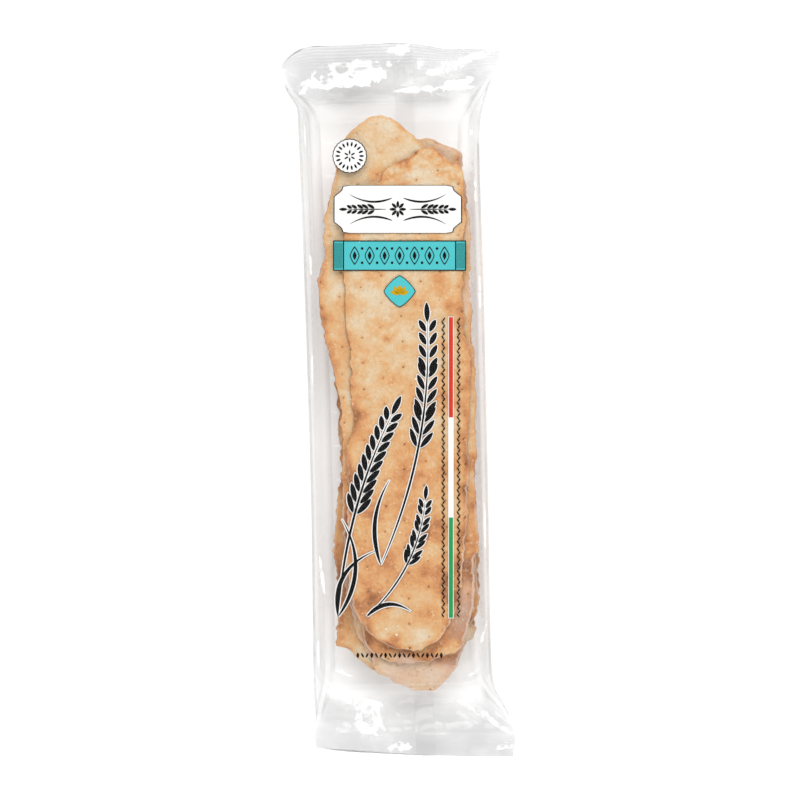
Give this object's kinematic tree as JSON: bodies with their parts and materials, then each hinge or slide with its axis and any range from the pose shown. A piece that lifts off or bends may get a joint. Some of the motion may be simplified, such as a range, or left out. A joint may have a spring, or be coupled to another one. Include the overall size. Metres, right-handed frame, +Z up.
{
  "type": "bag of crisp flatbreads",
  "caption": "Clear heat-sealed film bag holding a tray of long crisp flatbreads, lying flat on its back with the bread shown through the film.",
  "frame": {"origin": "under the middle of the bag's box, on the surface that it lies on", "axes": "+Y along the bag towards its head, +X across it to the right, +Z up out of the face that shows the flatbreads"},
  "size_m": [0.1242, 0.403, 0.0335],
  "materials": {
    "film": "gloss",
    "tray": "gloss",
    "flatbread": "matte",
    "salt": "satin",
    "white_print": "satin",
    "dark_print": "satin",
    "teal_print": "satin",
    "stripe_print": "satin"
  },
  "bodies": {
    "root": {"sealed_bag": "film"}
  },
  "joints": []
}
